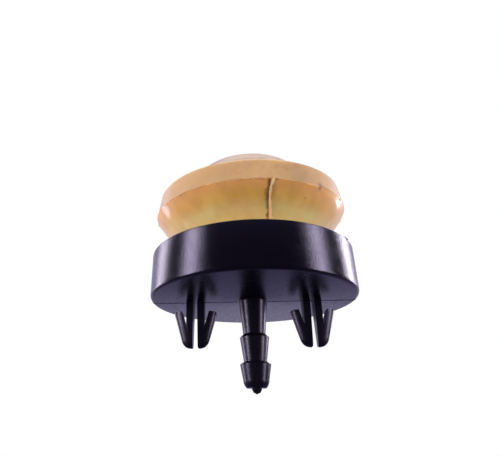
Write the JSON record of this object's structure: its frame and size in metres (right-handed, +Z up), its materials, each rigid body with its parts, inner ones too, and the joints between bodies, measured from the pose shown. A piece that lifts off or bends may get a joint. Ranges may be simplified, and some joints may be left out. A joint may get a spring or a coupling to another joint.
{
  "type": "primer bulb",
  "caption": "Snap-in primer bulb: an amber rubber squeeze bulb held in a round black cup with a barbed hose nozzle and split snap clips underneath.",
  "frame": {"origin": "centre of the base's flat underside, the face that lies on the machine's panel, on the nozzle's axis", "axes": "+Z up through the rubber bulb, -Z along the nozzle, X through the two clips, and -Y towards the side that the picture shows"},
  "size_m": [0.035, 0.035, 0.0423],
  "materials": {
    "black_plastic": "smooth black moulded plastic, fairly glossy, with a fine grain",
    "amber_rubber": "translucent amber moulded rubber with a soft sheen"
  },
  "bodies": {
    "root": {"base": "black_plastic", "rubber_bulb": "amber_rubber"}
  },
  "joints": []
}
